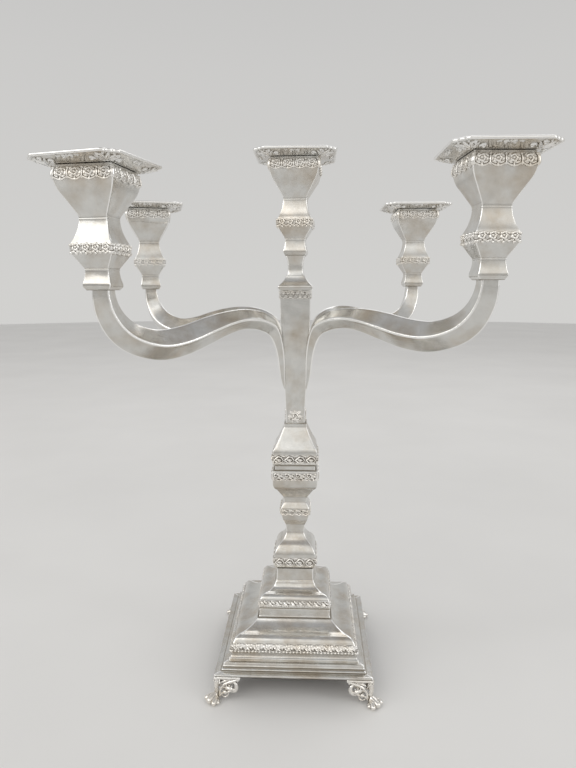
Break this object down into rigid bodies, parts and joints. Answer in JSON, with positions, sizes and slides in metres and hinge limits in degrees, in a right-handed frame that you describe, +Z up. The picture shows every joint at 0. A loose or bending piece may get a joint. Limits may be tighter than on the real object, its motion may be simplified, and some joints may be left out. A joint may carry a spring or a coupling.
{
  "type": "candelabrum",
  "caption": "Square-section silver candelabrum: a footed column with a lift-out branch unit, curved arms, vase-shaped candle cups, loose nozzles and turning drip pans.",
  "frame": {"origin": "on the table, under the axis of the column", "axes": "+Z up the column; -Y is the front, with the base's sides along X and Y and the arms near the diagonals"},
  "size_m": [0.3666, 0.3296, 0.4748],
  "materials": {
    "polished_silver": "polished silver plate with fine hand-cleaning scratches and a trace of warm tarnish",
    "chased_silver": "cast and chased ornament in silver, dark oxide in the hollows and bright on the high points",
    "rod_steel": "plain steel rod, nut and washer",
    "base_board": "dark stained board, matt"
  },
  "bodies": {
    "candlestick": {"base_rim": "polished_silver", "base_board": "base_board", "lower_tier": "polished_silver", "mid_tier": "polished_silver", "lower_tier_band": "chased_silver", "mid_tier_band": "chased_silver", "foot_front_right": "chased_silver", "foot_back_right": "chased_silver", "foot_back_left": "chased_silver", "foot_front_left": "chased_silver", "socle": "polished_silver", "knop": "polished_silver", "lower_vase": "polished_silver", "socle_band": "chased_silver", "knop_band": "chased_silver", "lower_vase_band": "chased_silver", "upper_vase_band": "chased_silver", "upper_vase": "polished_silver", "socket_tube": "polished_silver", "tie_rod": "rod_steel", "rod_nut": "rod_steel", "rod_washer": "rod_steel"},
    "branches": {"stem": "polished_silver", "stem_sprigs": "chased_silver", "hub_band": "chased_silver", "hub_cap": "polished_silver", "spindle": "polished_silver", "arm_front_left": "polished_silver", "arm_front_right": "polished_silver", "arm_back_left": "polished_silver", "arm_back_right": "polished_silver", "cup_front_left": "polished_silver", "cup_top_band_front_left": "chased_silver", "cup_bulge_band_front_left": "chased_silver", "cup_front_right": "polished_silver", "cup_top_band_front_right": "chased_silver", "cup_bulge_band_front_right": "chased_silver", "cup_back_left": "polished_silver", "cup_top_band_back_left": "chased_silver", "cup_bulge_band_back_left": "chased_silver", "cup_back_right": "polished_silver", "cup_top_band_back_right": "chased_silver", "cup_bulge_band_back_right": "chased_silver", "cup_centre": "polished_silver", "cup_top_band_centre": "chased_silver", "cup_bulge_band_centre": "chased_silver"},
    "nozzle_front_left": {"nozzle_front_left": "polished_silver"},
    "pan_front_left": {"pan_front_left": "polished_silver"},
    "nozzle_front_right": {"nozzle_front_right": "polished_silver"},
    "pan_front_right": {"pan_front_right": "polished_silver"},
    "nozzle_back_left": {"nozzle_back_left": "polished_silver"},
    "pan_back_left": {"pan_back_left": "polished_silver"},
    "nozzle_back_right": {"nozzle_back_right": "polished_silver"},
    "pan_back_right": {"pan_back_right": "polished_silver"},
    "nozzle_centre": {"nozzle_centre": "polished_silver"},
    "pan_centre": {"pan_centre": "polished_silver"}
  },
  "joints": [
    {"name": "branches_lift", "type": "slide", "parent": "candlestick", "child": "branches", "axis": [0, 0, 1], "range_m": [0, 0.03]},
    {"name": "nozzle_front_left_lift", "type": "slide", "parent": "branches", "child": "nozzle_front_left", "axis": [0, 0, 1], "range_m": [0, 0.03]},
    {"name": "pan_front_left_turn", "type": "hinge", "parent": "nozzle_front_left", "child": "pan_front_left", "pos_m": [-0.13093, -0.12425, 0.4408], "axis": [0, 0, 1], "continuous": true},
    {"name": "nozzle_front_right_lift", "type": "slide", "parent": "branches", "child": "nozzle_front_right", "axis": [0, 0, 1], "range_m": [0, 0.03]},
    {"name": "pan_front_right_turn", "type": "hinge", "parent": "nozzle_front_right", "child": "pan_front_right", "pos_m": [0.13519, -0.1196, 0.4474], "axis": [0, 0, 1], "continuous": true},
    {"name": "nozzle_back_left_lift", "type": "slide", "parent": "branches", "child": "nozzle_back_left", "axis": [0, 0, 1], "range_m": [0, 0.03]},
    {"name": "pan_back_left_turn", "type": "hinge", "parent": "nozzle_back_left", "child": "pan_back_left", "pos_m": [-0.156, 0.0908, 0.4408], "axis": [0, 0, 1], "continuous": true},
    {"name": "nozzle_back_right_lift", "type": "slide", "parent": "branches", "child": "nozzle_back_right", "axis": [0, 0, 1], "range_m": [0, 0.03]},
    {"name": "pan_back_right_turn", "type": "hinge", "parent": "nozzle_back_right", "child": "pan_back_right", "pos_m": [0.12539, 0.12984, 0.4433], "axis": [0, 0, 1], "continuous": true},
    {"name": "nozzle_centre_lift", "type": "slide", "parent": "branches", "child": "nozzle_centre", "axis": [0, 0, 1], "range_m": [0, 0.03]},
    {"name": "pan_centre_turn", "type": "hinge", "parent": "nozzle_centre", "child": "pan_centre", "pos_m": [0, 0, 0.47], "axis": [0, 0, 1], "continuous": true}
  ]
}
